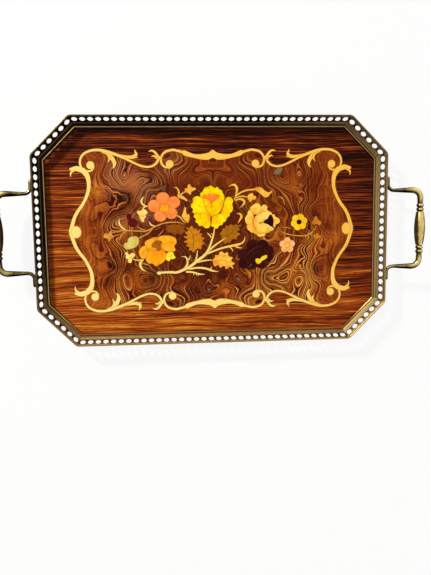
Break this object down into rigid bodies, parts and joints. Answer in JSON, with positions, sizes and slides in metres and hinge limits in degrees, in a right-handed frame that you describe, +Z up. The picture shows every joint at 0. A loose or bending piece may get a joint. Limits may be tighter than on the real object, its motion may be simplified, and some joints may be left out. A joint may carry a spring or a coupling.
{
  "type": "marquetry serving tray",
  "caption": "Octagonal wooden serving tray with inlaid floral marquetry, a pierced and flared brass gallery, and a rigid cast brass handle at each end.",
  "frame": {"origin": "middle of the flat underside", "axes": "+Z up out of the tray, X from handle to handle, +Y towards the back edge of the flower picture"},
  "size_m": [0.4904, 0.2582, 0.0335],
  "materials": {
    "rosewood": "straight striped grain, clear gloss lacquer",
    "burl": "swirled burl figure, clear gloss lacquer",
    "boxwood": "pale close grain, clear gloss lacquer",
    "yellow_wood": "dyed yellow veneer, clear gloss lacquer",
    "orange_wood": "dyed orange veneer, clear gloss lacquer",
    "cream_wood": "cream veneer scorched at its edges, clear gloss lacquer",
    "dark_wood": "dark maroon veneer, clear gloss lacquer",
    "amber_wood": "dyed amber veneer, clear gloss lacquer",
    "leaf_wood": "olive brown veneer, clear gloss lacquer",
    "core_wood": "plain core, hidden",
    "backing_veneer": "plain backing veneer, satin",
    "brass": "aged brass, polished on the edges"
  },
  "bodies": {
    "root": {"amber_dog_rose": "amber_wood", "back_veneer": "backing_veneer", "blossom_eye": "orange_wood", "border_veneer": "rosewood", "burl_back_left": "burl", "burl_back_right": "burl", "burl_front_left": "burl", "burl_front_right": "burl", "core_board": "core_wood", "cream_rose": "cream_wood", "cream_rose_fold": "dark_wood", "dark_peony": "dark_wood", "dog_rose_eye": "leaf_wood", "gallery_back": "brass", "gallery_corner_back_left": "brass", "gallery_corner_back_right": "brass", "gallery_corner_front_left": "brass", "gallery_corner_front_right": "brass", "gallery_foot_bead": "brass", "gallery_front": "brass", "gallery_left": "brass", "gallery_right": "brass", "gallery_rim": "brass", "handle_left": "brass", "handle_right": "brass", "handle_rivets": "brass", "leaf_left": "leaf_wood", "leaf_low": "cream_wood", "leaf_right": "leaf_wood", "orange_blossom": "orange_wood", "peony_stamens": "yellow_wood", "pink_daisy": "orange_wood", "rose_heart": "orange_wood", "scroll_bracket_left": "boxwood", "scroll_bracket_right": "boxwood", "scroll_corner_back_left": "boxwood", "scroll_corner_back_right": "boxwood", "scroll_corner_front_left": "boxwood", "scroll_corner_front_right": "boxwood", "scroll_crest_back": "boxwood", "scroll_crest_front": "boxwood", "stem": "boxwood", "yellow_daisy": "yellow_wood", "yellow_daisy_eye": "dark_wood", "yellow_rose": "yellow_wood"}
  },
  "joints": []
}
